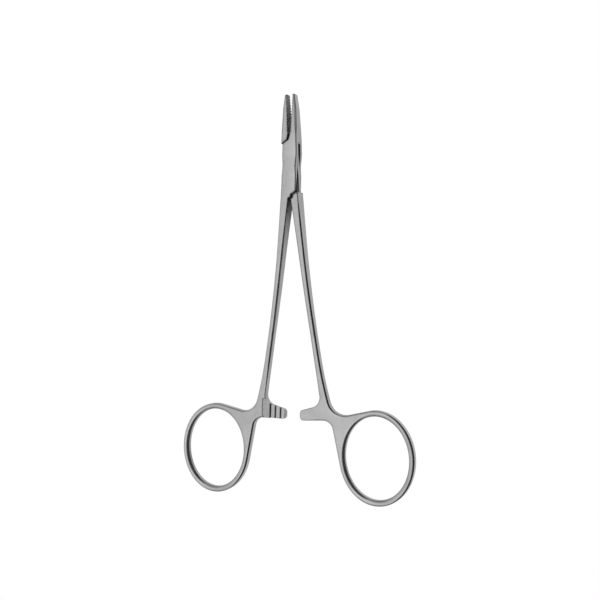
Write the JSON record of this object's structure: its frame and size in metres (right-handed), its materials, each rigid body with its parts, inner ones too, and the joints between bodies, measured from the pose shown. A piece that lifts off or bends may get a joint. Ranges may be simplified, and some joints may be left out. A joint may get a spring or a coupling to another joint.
{
  "type": "surgical needle holder",
  "caption": "Needle holder with a box lock, short tapered serrated jaws, long slim shanks, ratchet arms and oval finger rings.",
  "frame": {"origin": "where the pivot axis meets the plane of the box's back face, on which the instrument lies", "axes": "+Y from the pivot towards the jaw tips, midway between the halves, +Z along the pivot axis out of the front, +X to the right seen from the front with the jaws up"},
  "size_m": [0.093, 0.1491, 0.0053],
  "materials": {
    "steel": "fine satin stainless steel"
  },
  "bodies": {
    "box_side": {"box_half": "steel", "pivot_pin": "steel"},
    "insert_side": {"insert_half": "steel"}
  },
  "joints": [
    {"name": "box_lock", "type": "hinge", "parent": "box_side", "child": "insert_side", "pos_m": [0, 0, 0], "axis": [0, 0, 1], "range_deg": [-4.7, 40]}
  ]
}
